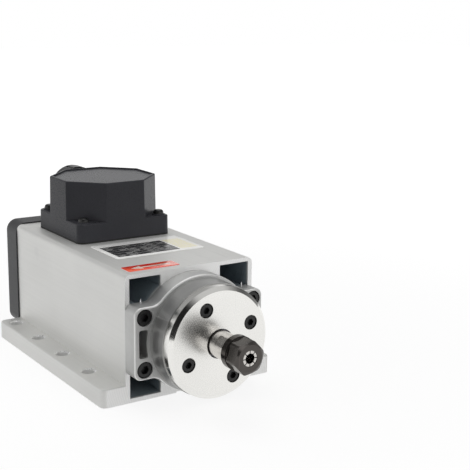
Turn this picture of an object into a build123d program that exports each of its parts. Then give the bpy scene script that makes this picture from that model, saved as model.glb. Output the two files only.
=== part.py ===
from build123d import *
import os
from math import atan2, cos, degrees, radians, sin, tan

# Air-cooled square-housing motor spindle with an ER11 collet nose.
# Frame: +X right, +Y towards the fan end, +Z up, the collet points along -Y.
# The origin is the centre of the foot-bolt pattern, on the mounting face.
# Every length is in millimetres.

# --- extruded motor housing ---
axis_height = 41.0             # spindle axis above the mounting face
housing_length = 166.2
housing_corner_radius = 3.8
side_wall = 3.1
top_wall = 2.6
bottom_wall = 2.8
duct_rib_x = 21.7              # upright inner walls of the corner air ducts
core_radius = 38.0             # round core around the stator
core_wall = 4.0
core_cover = 3.0               # metal between the core and the housing top
side_duct_gap = 5.4            # air gap between the core and the side wall
boss_wall_offset = 4.0         # side wall's inner face to the middle of a screw boss
boss_z = 16.5                  # screw bosses above and below the spindle axis
boss_radius = 5.5
boss_thread_depth = 22.0
relief_half_width = 10.3       # shallow relief along the mounting face
relief_depth = 0.8

# --- feet ---
foot_reach = 16.0              # foot beyond the housing's side
foot_thickness = 12.0
foot_corner_radius = 4.0
foot_edge_radius = 1.2
foot_hole_radius = 4.3
foot_hole_chamfer = 0.9
foot_hole_inset = 8.1          # hole centre from the foot's outer edge
foot_hole_pitch = 39.5         # along the spindle, four holes on each side
foot_hole_front_margin = 35.8  # housing front face to the first hole

# --- front end shield ---
ear_thickness = 12.0
ear_margin = 6.5               # ear beyond the middle of its screw
ear_corner_radius = 5.0
ear_edge_radius = 1.2
ear_drum_blend = 9.0           # inside radius between an ear and the drum
drum_step = 2.0                # the drum is smaller than its shoulder by this
drum_length = 27.0
vent_margin = 7.5              # ear slot to the middle of its screw
vent_corner_radius = 1.5
vent_inner_radius = 1.6
spigot_length = 4.0
shield_hollow_inner_radius = 22.5
shield_hollow_wall = 5.0
shield_hollow_depth = 8.0
shield_lip_radius = 14.5

# --- front flange cover ---
cover_disc_step = 0.5          # the disc is smaller than the drum by this
cover_disc_thickness = 7.5
cover_disc_chamfer = 2.4
cover_bore_radius = 9.4
cover_recess_radius = 13.2
cover_recess_depth = 3.6
cover_spigot_length = 1.0
cover_spigot_inner_radius = 14.6
cover_screw_circle_radius = 24.3
cover_screw_angle = 24.0

# --- socket head screws: M6 for the end shields, M5 for the flange cover ---
m6_radius = 3.0
m6_head_radius = 5.0
m6_head_height = 6.0
m6_socket = 5.0
m6_length = 20.0
m6_counterbore_radius = 5.4
m6_counterbore_depth = 6.4
m5_radius = 2.5
m5_head_radius = 4.25
m5_head_height = 5.0
m5_socket = 4.0
m5_length = 16.0
m5_counterbore_radius = 4.7
m5_counterbore_depth = 5.3
clearance_hole_gap = 0.3
thread_gap = 0.02              # radial gap of a threaded fastener in its hole
seat_gap = 0.02                # radial gap of a piece seated in a bore or on a shaft

# --- bearings ---
front_bearing_bore = 17.0
front_bearing_outer = 35.0
front_bearing_width = 10.0
front_ball_count = 9
rear_bearing_bore = 15.0
rear_bearing_outer = 32.0
rear_bearing_width = 9.0
rear_ball_count = 8
ball_radius = 2.38
ball_gap = 0.1
race_wall = 1.4                # ring wall beside the groove, at its shoulder
race_depth = 0.75              # depth of the ball groove under the shoulder
cage_wall = 1.5
cage_side_margin = 1.2
bearing_spacer_length = 6.0
spacer_wall = 2.2
shaft_locknut_radius = 12.6
shaft_locknut_length = 4.0
locknut_slot_width = 4.0
locknut_slot_depth = 1.6

# --- stator and rotor ---
stator_start = 30.0            # behind the housing front face
stator_length = 80.0
stator_bore_radius = 19.5
winding_length = 15.0
winding_inner_radius = 21.0
winding_bore_gap = 2.5         # end windings to the core bore
winding_round = 4.0
air_gap = 0.5
rotor_bore_radius = 11.5
end_ring_length = 4.0
end_ring_wall = 6.0

# --- shaft ---
nose_radius = 8.5
nose_end = 50.7                # shoulder behind the collet nut, ahead of the housing
shaft_front_end = 61.0
thread_radius = 7.0
flat_width = 15.6              # across the wrench flats
flat_length = 10.0
flat_angle = 138.5
shaft_shoulder_radius = 10.5
shaft_rear_radius = 9.0
fan_seat_radius = 6.0
shaft_edge = 0.5

# --- ER11 collet and nut ---
collet_length = 18.0
collet_front_end = 66.2        # collet face ahead of the housing front face
collet_large_radius = 5.75
collet_cone_length = 13.4
collet_half_angle = 8.0
collet_groove_radius = 4.75
collet_groove_end = 15.0
collet_collar_radius = 5.5
collet_collar_end = 16.8
collet_face_radius = 4.8
collet_bore_radius = 3.175
collet_slot_width = 0.6
collet_slot_land = 3.0
collet_slot_pairs = 4
taper_gap = 0.05
drawtube_radius = 3.5
drawtube_depth = 34.0
nut_back = 50.9
nut_front = 66.5
nut_skirt_radius = 10.7
nut_skirt_length = 5.8
nut_groove_width = 0.9
nut_groove_depth = 0.5
nut_flats = 19.0
nut_corner_radius = 10.6
nut_flat_angle = 12.5
nut_thread_gap = 0.1
nut_mouth_radius = 4.95
nut_lip_radius = 5.1
nut_edge = 0.5
nut_cone_width = 2.2            # bevel round the nut's face
nut_cone_depth = 1.3

# --- rear bearing bracket ---
bracket_thickness = 4.0
bracket_spigot_length = 6.0
bracket_spigot_wall = 4.0
bracket_hub_wall = 4.5
bracket_hub_reach = 16.0       # hub ahead of the housing rear face
bracket_lobe_radius = 5.2
bracket_arm_width = 8.0
bracket_cover_gap = 0.3        # between the bracket web and the fan cover
rear_seat_wall = 3.0           # wall behind the bearing seat
preload_spring_length = 1.5
preload_spring_thickness = 0.6

# --- fan and fan cover ---
fan_cover_overhang = 1.0       # cover beyond the housing's sides and top
fan_cover_bottom = 5.0
fan_cover_depth = 18.8
fan_cover_corner_radius = 8.0
fan_cover_wall = 2.5
fan_cover_edge_radius = 1.8
fan_post_inset_x = 11.0        # post centre from the cover's inner side
fan_post_inset_z = 8.5         # post centre from its inner top and bottom
fan_post_radius = 4.2
m4_radius = 2.0
m4_head_radius = 3.8
m4_head_height = 2.6
m4_length = 16.0
m4_recess_depth = 3.0
grille_slot = 3.4
grille_bar = 2.2
grille_first_radius = 9.5
grille_ring_count = 4
grille_spoke_width = 3.0
grille_spoke_count = 6
fan_core_step = 6.5            # the fan is smaller than the round core by this
fan_hub_radius = 11.0
fan_length = 7.8
fan_start = 1.6                # behind the bracket
fan_blade_count = 7
fan_blade_thickness = 1.8
fan_root_pitch = 38.0
fan_tip_pitch = 62.0
clip_thickness = 1.0
clip_wall = 2.4
shaft_tail = 0.6               # shaft behind the fan clip

# --- terminal box ---
box_half_x = 35.3
box_half_y = 34.0
box_rear_margin = 13.2         # box rear to the housing rear face
box_ledge_height = 13.5
box_height = 40.2
box_corner_cut = 20.4
box_corner_radius = 5.0
box_edge_radius = 0.9
tower_corner_radius = 1.4
box_draft = 0.7
box_wall = 2.5
box_rim_width = 1.6
box_rim_depth = 0.9
box_screw_inset = 6.3
box_post_radius = 4.2
box_boss_radius = 4.6
box_boss_rise = 0.7             # above the ledges
gasket_thickness = 1.2
gasket_band = 5.0
box_screw_radius = 2.0
box_screw_head_radius = 3.6
box_screw_head_height = 2.8
box_screw_grip = 2.4           # thread length, within the housing top wall
lead_hole_radius = 7.0

# --- cable gland ---
gland_height = 24.0            # gland axis above the housing top
gland_thread_inset = 4.9       # these insets and margins are from the edge of the rear flat
gland_body_wall = 2.4
gland_pad_margin = 0.7
gland_pad_thickness = 1.2
gland_hex_inset = 0.4
gland_hex_length = 6.5
gland_cap_margin = 1.1
gland_cap_length = 15.5
gland_cap_lip = 7.8
gland_neck_inset = 3.5
gland_neck_length = 9.0
gland_seal_wall = 3.5
gland_locknut_inset = 3.65
gland_locknut_thickness = 3.0
gland_rib_count = 12
gland_rib_radius = 0.9

# --- terminal block ---
block_length = 40.0
block_width = 16.0
block_height = 12.0
block_offset = -14.0           # from the middle of the box, along the spindle
terminal_count = 4
terminal_pitch = 9.0
terminal_screw_radius = 2.4
terminal_screw_height = 2.0
terminal_barrier = 1.6

# --- worked-out places ---
front_y = -(foot_hole_front_margin + 1.5 * foot_hole_pitch)
rear_y = front_y + housing_length
core_bore_radius = core_radius - core_wall
duct_outer_x = core_radius + side_duct_gap
half_width = duct_outer_x + side_wall
housing_width = 2 * half_width
housing_height = axis_height + core_radius + core_cover
duct_top = housing_height - top_wall
boss_x = duct_outer_x - boss_wall_offset
foot_width = housing_width + 2 * foot_reach
foot_hole_spacing = foot_width - 2 * foot_hole_inset
ear_half_height = boss_z + ear_margin
vent_half_height = boss_z - vent_margin
drum_radius = core_radius - drum_step
cover_disc_radius = drum_radius - cover_disc_step
shield_hollow_outer_radius = drum_radius - shield_hollow_wall
winding_outer_radius = core_bore_radius - winding_bore_gap
ear_front = front_y - ear_thickness
drum_front = front_y - drum_length
disc_front = drum_front - cover_disc_thickness
front_seat_radius = front_bearing_outer / 2 + seat_gap
rear_seat_radius = rear_bearing_outer / 2 + seat_gap
front_stack = 2 * front_bearing_width + bearing_spacer_length
stack_front = drum_front + cover_spigot_length
stack_rear = stack_front + front_stack
stator_front = front_y + stator_start
stator_rear = stator_front + stator_length
rotor_radius = stator_bore_radius - air_gap
bracket_rear = rear_y + bracket_thickness
hub_front = rear_y - bracket_hub_reach
spring_rear = bracket_rear - rear_seat_wall
spring_front = spring_rear - preload_spring_length
rear_bearing_front = spring_front - rear_bearing_width
hub_radius = rear_seat_radius + bracket_hub_wall
fan_front = bracket_rear + fan_start
fan_rear = fan_front + fan_length
shaft_rear_end = fan_rear + clip_thickness + shaft_tail
fan_radius = core_radius - fan_core_step
cover_rear = rear_y + fan_cover_depth
fan_cover_width = housing_width + 2 * fan_cover_overhang
fan_cover_top = housing_height + fan_cover_overhang
cover_mid_z = (fan_cover_bottom + fan_cover_top) / 2
fan_post_x = fan_cover_width / 2 - fan_cover_wall - fan_post_inset_x
fan_post_z = (fan_cover_top - fan_cover_bottom) / 2 - fan_cover_wall - fan_post_inset_z
fan_posts = [(sx * fan_post_x, cover_mid_z + sz * fan_post_z) for sx in (-1, 1) for sz in (-1, 1)]
bosses = [(sx * boss_x, axis_height + sz * boss_z) for sx in (-1, 1) for sz in (-1, 1)]
box_y = rear_y - box_rear_margin - box_half_y
box_flat_half = box_half_x - box_corner_cut
gland_z = housing_height + gland_height
gland_thread_radius = box_flat_half - gland_thread_inset
gland_bore_radius = gland_thread_radius - gland_body_wall
gland_pad_radius = box_flat_half + gland_pad_margin
gland_hex = 2 * (box_flat_half - gland_hex_inset)
gland_cap_radius = box_flat_half + gland_cap_margin
gland_cap_mouth_radius = gland_cap_radius - gland_cap_lip
gland_neck_radius = box_flat_half - gland_neck_inset
gland_neck_bore_radius = gland_neck_radius - gland_body_wall
gland_seal_bore_radius = gland_neck_bore_radius - gland_seal_wall
gland_locknut_hex = 2 * (box_flat_half - gland_locknut_inset)
box_rear = box_y + box_half_y
pad_face = box_rear + gland_pad_thickness / 2
locknut_top = gland_height + gland_locknut_hex / 2
locknut_rear = box_rear - locknut_top * tan(radians(box_draft)) - box_wall


def along_y(profile, front, rear):
    """Extrude a profile, drawn in X and Z, from a front plane to a rear plane."""
    plane = Plane(origin=(0, rear, 0), x_dir=(1, 0, 0), z_dir=(0, -1, 0))
    return extrude(plane * profile, amount=rear - front)


def rod(x, z, radius, front, rear):
    """Round bar along the spindle, at X and Z."""
    return along_y(Pos(x, z) * Circle(radius), front, rear)


def upright(x, y, radius, bottom, top):
    """Round bar along Z."""
    return extrude(Plane(origin=(x, y, bottom)) * Circle(radius), amount=top - bottom)


def turned(points, z=axis_height):
    """Revolve an outline of (radius, y) points about a line along Y at height z."""
    outline = make_face(Polyline(*points, close=True))
    return Pos(0, 0, z) * revolve(outline, axis=Axis.Y)


def sleeve(inner, outer, front, rear):
    """Plain ring about the spindle axis."""
    return turned([(inner, front), (outer, front), (outer, rear), (inner, rear)])


def about_axis(shape, angle):
    """Turn a shape about the spindle axis, from +X towards +Z."""
    centred = Pos(0, 0, -axis_height) * shape
    return Pos(0, 0, axis_height) * (Rot(0, -angle, 0) * centred)


def hexagon(flats):
    return RegularPolygon(flats / 2, 6, major_radius=False)


def socket_screw(x, z, head_front, shank, head, head_height, length, socket):
    """Socket head cap screw that points along +Y, seen from the front."""
    seat = head_front + head_height
    screw = rod(x, z, head, head_front, seat)
    rim = screw.faces().sort_by(Axis.Y)[0].edges()
    screw = chamfer(rim, head * 0.1)
    screw += rod(x, z, shank - thread_gap, seat, seat + length)
    recess = along_y(Pos(x, z) * hexagon(socket), head_front, head_front + head_height / 2)
    return screw - recess


# ---------------------------------------------------------------- housing side

def motor_housing():
    """Extruded body: feet, round core, webs, corner air ducts and screw bosses."""
    body = Pos(0, housing_height / 2) * Rectangle(housing_width, housing_height)
    body = fillet(body.vertices().group_by(Axis.Y)[-1], housing_corner_radius)
    middle_y = (front_y + rear_y) / 2
    feet = extrude(
        Pos(0, middle_y) * RectangleRounded(foot_width, housing_length, foot_corner_radius),
        amount=foot_thickness,
    )
    feet = fillet(feet.faces().sort_by(Axis.Z)[-1].edges(), foot_edge_radius)
    housing = along_y(body, front_y, rear_y) + feet
    core = Pos(0, axis_height) * Circle(core_radius)
    duct_width = duct_outer_x - duct_rib_x
    duct_height = duct_top - bottom_wall
    hollows = Pos(0, axis_height) * Circle(core_bore_radius)
    hollows += Pos(0, relief_depth / 2) * Rectangle(2 * relief_half_width, relief_depth)
    for side in (-1, 1):
        centre = Pos(side * (duct_rib_x + duct_width / 2), bottom_wall + duct_height / 2)
        hollows += centre * Rectangle(duct_width, duct_height) - core
    for x, z in bosses:
        hollows -= Pos(x, z) * Circle(boss_radius)
    housing -= along_y(hollows, front_y, rear_y)
    for side in (-1, 1):
        for row in range(4):
            y = front_y + foot_hole_front_margin + row * foot_hole_pitch
            x = side * foot_hole_spacing / 2
            housing -= upright(x, y, foot_hole_radius, 0, foot_thickness)
            housing -= Pos(x, y, foot_thickness - foot_hole_chamfer / 2) * Cone(
                foot_hole_radius, foot_hole_radius + foot_hole_chamfer, foot_hole_chamfer
            )
    for x, z in bosses:
        housing -= rod(x, z, m6_radius, front_y, front_y + boss_thread_depth)
        housing -= rod(x, z, m6_radius, rear_y - boss_thread_depth, rear_y)
    housing -= upright(0, box_y, lead_hole_radius, axis_height + core_bore_radius / 2, housing_height)
    for x, y in box_screw_places():
        housing -= upright(x, y, box_screw_radius, duct_top, housing_height)
    return housing


def box_screw_places():
    reach_x = box_half_x - box_screw_inset
    reach_y = box_half_y - box_screw_inset
    return [(sx * reach_x, box_y + sy * reach_y) for sx in (-1, 1) for sy in (-1, 1)]


def front_end_shield():
    """Cast shield: two ears with air slots, a stepped drum and the bearing seat."""
    core = Pos(0, axis_height) * Circle(core_radius)
    ears = Pos(0, axis_height) * Rectangle(housing_width, 2 * ear_half_height)
    outline = fillet(ears.vertices(), ear_corner_radius) + core
    inner_corners = [corner for corner in outline.vertices() if abs(corner.X) < core_radius - ear_drum_blend / 2]
    outline = fillet(inner_corners, ear_drum_blend)
    shield = along_y(outline, ear_front, front_y)
    front_rim = shield.faces().sort_by(Axis.Y)[0].edges()
    shield = fillet(front_rim, ear_edge_radius)
    shield += rod(0, axis_height, drum_radius, drum_front, ear_front)
    shield += rod(0, axis_height, core_bore_radius - seat_gap, front_y, front_y + spigot_length)
    vent_width = duct_outer_x - drum_radius + 2
    vent = Rectangle(vent_width, 2 * vent_half_height)
    vent = fillet(vent.vertices(), vent_corner_radius)
    for side in (-1, 1):
        place = Pos(side * (duct_outer_x - vent_width / 2), axis_height)
        slot = place * vent - core
        inner_ends = sorted(slot.vertices(), key=lambda corner: abs(corner.X))[:2]
        slot = fillet(inner_ends, vent_inner_radius)
        shield -= along_y(slot, ear_front, front_y)
    shield -= rod(0, axis_height, front_seat_radius, drum_front, stack_rear)
    shield -= rod(0, axis_height, shield_lip_radius, stack_rear, front_y + spigot_length)
    hollow_front = front_y + spigot_length - shield_hollow_depth
    shield -= sleeve(
        shield_hollow_inner_radius, shield_hollow_outer_radius, hollow_front, front_y + spigot_length
    )
    for x, z in bosses:
        shield -= rod(x, z, m6_radius + clearance_hole_gap, ear_front, front_y)
        shield -= rod(x, z, m6_counterbore_radius, ear_front, ear_front + m6_counterbore_depth)
    for x, z in cover_screw_places():
        shield -= rod(x, z, m5_radius, drum_front, drum_front + m5_length)
    return shield


def cover_screw_places():
    places = []
    for index in range(4):
        angle = radians(cover_screw_angle + 90 * index)
        x = cover_screw_circle_radius * cos(angle)
        places.append((x, axis_height + cover_screw_circle_radius * sin(angle)))
    return places


def front_flange_cover():
    """Turned disc that closes the front bearings, with four counterbored holes."""
    edge = cover_disc_chamfer
    disc = turned([
        (cover_bore_radius, disc_front),
        (cover_disc_radius - edge, disc_front),
        (cover_disc_radius, disc_front + edge),
        (cover_disc_radius, drum_front),
        (front_seat_radius - 2 * seat_gap, drum_front),
        (front_seat_radius - 2 * seat_gap, stack_front),
        (cover_spigot_inner_radius, stack_front),
        (cover_spigot_inner_radius, drum_front),
        (cover_recess_radius, drum_front),
        (cover_recess_radius, drum_front - cover_recess_depth),
        (cover_bore_radius, drum_front - cover_recess_depth),
    ])
    for x, z in cover_screw_places():
        disc -= rod(x, z, m5_radius + clearance_hole_gap, disc_front, drum_front)
        disc -= rod(x, z, m5_counterbore_radius, disc_front, disc_front + m5_counterbore_depth)
    return disc


def end_shield_screws():
    head_front = ear_front + m6_counterbore_depth - m6_head_height
    return Compound(children=[
        socket_screw(x, z, head_front, m6_radius, m6_head_radius, m6_head_height, m6_length, m6_socket)
        for x, z in bosses
    ])


def flange_cover_screws():
    head_front = disc_front + m5_counterbore_depth - m5_head_height
    return Compound(children=[
        socket_screw(x, z, head_front, m5_radius, m5_head_radius, m5_head_height, m5_length - 1, m5_socket)
        for x, z in cover_screw_places()
    ])


# ---------------------------------------------------------------- bearings

def ball_circle(bore, outer):
    return (bore + outer) / 4


def bearing_outer_ring(bore, outer, front, rear):
    """Outer ring with the ball groove in its bore."""
    pitch = ball_circle(bore, outer)
    shoulder = pitch + ball_radius + ball_gap - race_depth
    ring = sleeve(shoulder, outer / 2, front, rear)
    return ring - ball_groove(pitch, (front + rear) / 2)


def bearing_inner_ring(bore, outer, front, rear):
    """Inner ring with the ball groove on its outside."""
    pitch = ball_circle(bore, outer)
    shoulder = pitch - ball_radius - ball_gap + race_depth
    ring = sleeve(bore / 2 + seat_gap, shoulder, front, rear)
    return ring - ball_groove(pitch, (front + rear) / 2)


def ball_groove(pitch, y):
    section = Plane.XY * Pos(pitch, y) * Circle(ball_radius + ball_gap)
    return Pos(0, 0, axis_height) * revolve(section, axis=Axis.Y)


def ball_places(bore, outer, y, count):
    pitch = ball_circle(bore, outer)
    return [
        Pos(pitch * cos(turn), y, axis_height + pitch * sin(turn))
        for turn in (radians(360 * (index + 0.5) / count) for index in range(count))
    ]


def bearing_balls(bore, outer, front, rear, count):
    places = ball_places(bore, outer, (front + rear) / 2, count)
    return [place * Sphere(ball_radius) for place in places]


def bearing_cage(bore, outer, front, rear, count):
    """Ring between the races with a round pocket for each ball."""
    pitch = ball_circle(bore, outer)
    cage = sleeve(
        pitch - cage_wall / 2, pitch + cage_wall / 2, front + cage_side_margin, rear - cage_side_margin
    )
    pocket_length = 4 * cage_wall
    for index in range(count):
        pocket = Pos(pitch, (front + rear) / 2, axis_height) * (
            Rot(0, 90, 0) * Cylinder(ball_radius + ball_gap, pocket_length)
        )
        cage -= about_axis(pocket, 360 * (index + 0.5) / count)
    return cage


def front_bearing_spans():
    """Front and rear planes of the two front bearings."""
    second_front = stack_rear - front_bearing_width
    return [(stack_front, stack_front + front_bearing_width), (second_front, stack_rear)]


def front_outer_spacer():
    first, second = front_bearing_spans()
    outer = front_bearing_outer / 2
    return sleeve(outer - spacer_wall, outer, first[1], second[0])


def front_inner_spacer():
    first, second = front_bearing_spans()
    inner = front_bearing_bore / 2 + seat_gap
    return sleeve(inner, inner + spacer_wall, first[1], second[0])


def bearing_locknut():
    """Slotted ring nut that clamps the front inner rings against the shaft shoulder."""
    nut_front_y = stack_front - shaft_locknut_length
    nut = sleeve(front_bearing_bore / 2 + seat_gap, shaft_locknut_radius, nut_front_y, stack_front)
    for index in range(4):
        slot = Pos(shaft_locknut_radius, 0, axis_height) * Box(
            2 * locknut_slot_depth, 2 * abs(nut_front_y), locknut_slot_width
        )
        nut -= about_axis(slot, 45 + 90 * index)
    return nut


# ---------------------------------------------------------------- stator, rotor, shaft

def stator_core():
    return sleeve(stator_bore_radius, core_bore_radius - seat_gap, stator_front, stator_rear)


def end_winding(front, rear):
    profile = Pos((winding_inner_radius + winding_outer_radius) / 2, (front + rear) / 2) * Rectangle(
        winding_outer_radius - winding_inner_radius, rear - front
    )
    profile = fillet(profile.vertices(), winding_round)
    return Pos(0, 0, axis_height) * revolve(profile, axis=Axis.Y)


def stator_windings():
    return Compound(children=[
        end_winding(stator_front - winding_length, stator_front),
        end_winding(stator_rear, stator_rear + winding_length),
    ])


def rotor_core():
    return sleeve(rotor_bore_radius + seat_gap, rotor_radius, stator_front, stator_rear)


def rotor_end_rings():
    inner = rotor_radius - end_ring_wall
    return Compound(children=[
        sleeve(inner, rotor_radius, stator_front - end_ring_length, stator_front),
        sleeve(inner, rotor_radius, stator_rear, stator_rear + end_ring_length),
    ])


def spindle_shaft():
    """Stepped shaft with the collet taper in its nose and two wrench flats."""
    slope = tan(radians(collet_half_angle))
    nose = front_y - shaft_front_end
    cone_mouth_y = front_y - collet_front_end + collet_length - collet_cone_length
    mouth_radius = collet_large_radius + taper_gap - (nose - cone_mouth_y) * slope
    cone_end = front_y - collet_front_end + collet_length + 2
    cone_end_radius = mouth_radius - (cone_end - nose) * slope
    drill_end = nose + drawtube_depth
    rotor_seat_front = stator_front - end_ring_length - 2
    rotor_seat_rear = stator_rear + end_ring_length + 2
    journal = rear_bearing_bore / 2
    shaft = turned([
        (0, drill_end + drawtube_radius / 2),
        (drawtube_radius, drill_end),
        (drawtube_radius, cone_end),
        (cone_end_radius, cone_end),
        (mouth_radius, nose),
        (thread_radius - shaft_edge, nose),
        (thread_radius, nose + shaft_edge),
        (thread_radius, front_y - nose_end),
        (nose_radius - shaft_edge, front_y - nose_end),
        (nose_radius, front_y - nose_end + shaft_edge),
        (nose_radius, stack_rear),
        (shaft_shoulder_radius, stack_rear),
        (shaft_shoulder_radius, rotor_seat_front),
        (rotor_bore_radius, rotor_seat_front),
        (rotor_bore_radius, rotor_seat_rear),
        (shaft_rear_radius, rotor_seat_rear),
        (shaft_rear_radius, rear_bearing_front),
        (journal, rear_bearing_front),
        (journal, spring_front),
        (fan_seat_radius, spring_front),
        (fan_seat_radius, shaft_rear_end - shaft_edge),
        (fan_seat_radius - shaft_edge, shaft_rear_end),
        (0, shaft_rear_end),
    ])
    flat_rear = front_y - nose_end + flat_length
    for turn in (flat_angle, flat_angle + 180):
        block = Pos(flat_width / 2 + nose_radius, flat_rear - flat_length / 2, axis_height) * Box(
            2 * nose_radius, flat_length, 2 * nose_radius
        )
        shaft -= about_axis(block, turn)
    shaft -= sleeve(fan_seat_radius - clip_wall / 4, fan_seat_radius + 1, fan_rear, fan_rear + clip_thickness)
    return shaft


# ---------------------------------------------------------------- collet and nut

def collet():
    """Spring collet: long cone, extraction groove, front collar and two sets of slots."""
    slope = tan(radians(collet_half_angle))
    rear = front_y - collet_front_end + collet_length
    cone_front = rear - collet_cone_length
    tail_radius = collet_large_radius - collet_cone_length * slope
    body = turned([
        (collet_bore_radius, rear),
        (tail_radius, rear),
        (collet_large_radius, cone_front),
        (collet_groove_radius, cone_front),
        (collet_groove_radius, rear - collet_groove_end),
        (collet_collar_radius, rear - collet_groove_end),
        (collet_collar_radius, rear - collet_collar_end),
        (collet_face_radius, rear - collet_length),
        (collet_bore_radius, rear - collet_length),
    ])
    step = 180 / collet_slot_pairs
    for index in range(collet_slot_pairs):
        length = collet_length - collet_slot_land
        front_slot = Pos(0, rear - collet_length + length / 2, axis_height) * Box(
            3 * collet_large_radius, length, collet_slot_width
        )
        rear_slot = Pos(0, rear - length / 2, axis_height) * Box(
            3 * collet_large_radius, length, collet_slot_width
        )
        body -= about_axis(front_slot, index * step)
        body -= about_axis(rear_slot, (index + 0.5) * step)
    return body


def collet_nut():
    """Clamping nut: round skirt, hexagon, inner cone and the lip that pulls the collet."""
    back = front_y - nut_back
    face = front_y - nut_front
    collet_rear = front_y - collet_front_end + collet_length
    lip_rear = collet_rear - collet_cone_length - 0.5
    lip_front = collet_rear - collet_groove_end + 0.3
    collar_end = collet_rear - collet_collar_end
    collar_room = collet_collar_radius + 0.15
    skirt_end = back - nut_skirt_length
    blank = turned([
        (0, back),
        (nut_skirt_radius - nut_edge, back),
        (nut_skirt_radius, back - nut_edge),
        (nut_skirt_radius, skirt_end + nut_groove_width),
        (nut_skirt_radius - nut_groove_depth, skirt_end + nut_groove_width),
        (nut_skirt_radius - nut_groove_depth, skirt_end),
        (nut_corner_radius, skirt_end),
        (nut_corner_radius, face + nut_cone_depth),
        (nut_corner_radius - nut_cone_width, face),
        (0, face),
    ])
    hexagonal = along_y(
        Pos(0, axis_height) * Rot(0, 0, nut_flat_angle) * hexagon(nut_flats), face, skirt_end
    )
    room = along_y(Pos(0, axis_height) * Circle(2 * nut_skirt_radius), face, skirt_end)
    blank -= room - hexagonal
    return blank - turned([
        (0, back),
        (thread_radius + nut_thread_gap, back),
        (thread_radius + nut_thread_gap, lip_rear),
        (nut_lip_radius, lip_rear),
        (nut_lip_radius, lip_front),
        (collar_room, lip_front),
        (collar_room, collar_end),
        (nut_mouth_radius, face),
        (0, face),
    ])


# ---------------------------------------------------------------- rear bracket and fan

def bracket_plate():
    """Outline of the rear bracket: round web, four ears and four arms to the cover posts."""
    plate = Pos(0, axis_height) * Circle(core_radius)
    for x, z in bosses:
        plate += Pos(x, z) * Circle(bracket_lobe_radius)
    for x, z in fan_posts:
        plate += Pos(x, z) * Circle(bracket_lobe_radius)
        reach = ((x**2 + (z - axis_height) ** 2) ** 0.5) / 2
        lean = degrees(atan2(z - axis_height, x))
        middle = Pos(x / 2, (z + axis_height) / 2) * Rot(0, 0, lean)
        plate += middle * Rectangle(2 * reach, bracket_arm_width)
    return plate & cover_inside(bracket_cover_gap)


def cover_inside(gap=0.0):
    """Inner outline of the fan cover, drawn in by a gap."""
    height = fan_cover_top - fan_cover_bottom
    inset = fan_cover_wall + gap
    return Pos(0, cover_mid_z) * RectangleRounded(
        fan_cover_width - 2 * inset, height - 2 * inset, fan_cover_corner_radius - inset
    )


def rear_bearing_bracket():
    bracket = along_y(bracket_plate(), rear_y, bracket_rear)
    spigot = core_bore_radius - seat_gap
    bracket += sleeve(spigot - bracket_spigot_wall, spigot, rear_y - bracket_spigot_length, rear_y)
    bracket += rod(0, axis_height, hub_radius, hub_front, rear_y)
    bracket -= rod(0, axis_height, rear_seat_radius, hub_front, spring_rear)
    bracket -= rod(0, axis_height, rear_bearing_bore / 2 + 1, spring_rear, bracket_rear)
    for x, z in bosses:
        bracket -= rod(x, z, m6_radius + clearance_hole_gap, rear_y, bracket_rear)
    for x, z in fan_posts:
        bracket -= rod(x, z, m4_radius, rear_y, bracket_rear)
    return bracket


def pan_screw(x, z, seat, shank, head, head_height, length):
    """Domed screw that points along -Y, with its head on a seat plane."""
    dome = rod(x, z, head, seat, seat + head_height)
    rim = dome.faces().sort_by(Axis.Y)[-1].edges()
    dome = fillet(rim, head_height * 0.6)
    return dome + rod(x, z, shank - thread_gap, seat - length, seat)


def rear_bracket_screws():
    return Compound(children=[
        pan_screw(x, z, bracket_rear, m6_radius, m6_head_radius, m6_head_height / 2, m6_length)
        for x, z in bosses
    ])


def fan_cover_screws():
    seat = cover_rear - m4_recess_depth
    return Compound(children=[
        pan_screw(x, z, seat, m4_radius, m4_head_radius, m4_head_height, m4_length)
        for x, z in fan_posts
    ])


def preload_spring():
    """Coned disc spring behind the rear outer ring."""
    outer = rear_bearing_outer / 2 - 0.1
    inner = outer - 3
    lift = preload_spring_length - preload_spring_thickness
    return turned([
        (inner, spring_front + lift),
        (outer, spring_front),
        (outer, spring_front + preload_spring_thickness),
        (inner, spring_rear),
    ])


def cooling_fan():
    """Axial fan: hub on the shaft and twisted blades."""
    middle = (fan_front + fan_rear) / 2
    fan = sleeve(fan_seat_radius + seat_gap, fan_hub_radius, fan_front, fan_rear)
    chord = fan_length / cos(radians(fan_root_pitch))
    for index in range(fan_blade_count):
        root = blade_section(fan_hub_radius - 1, middle, chord, fan_root_pitch)
        tip = blade_section(fan_radius, middle, chord, fan_tip_pitch)
        blade = loft([root, tip], ruled=True)
        fan += about_axis(blade, 360 * index / fan_blade_count)
    return fan


def blade_section(radius, y, chord, pitch):
    plane = Plane(origin=(radius, y, axis_height), x_dir=(0, 1, 0), z_dir=(1, 0, 0))
    width = chord * cos(radians(fan_root_pitch)) / max(cos(radians(pitch)), 0.75)
    return plane * Rot(0, 0, pitch) * Rectangle(width, fan_blade_thickness)


def fan_clip():
    inner = fan_seat_radius - clip_wall / 4 + seat_gap
    return sleeve(inner, inner + clip_wall, fan_rear, fan_rear + clip_thickness)


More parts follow.
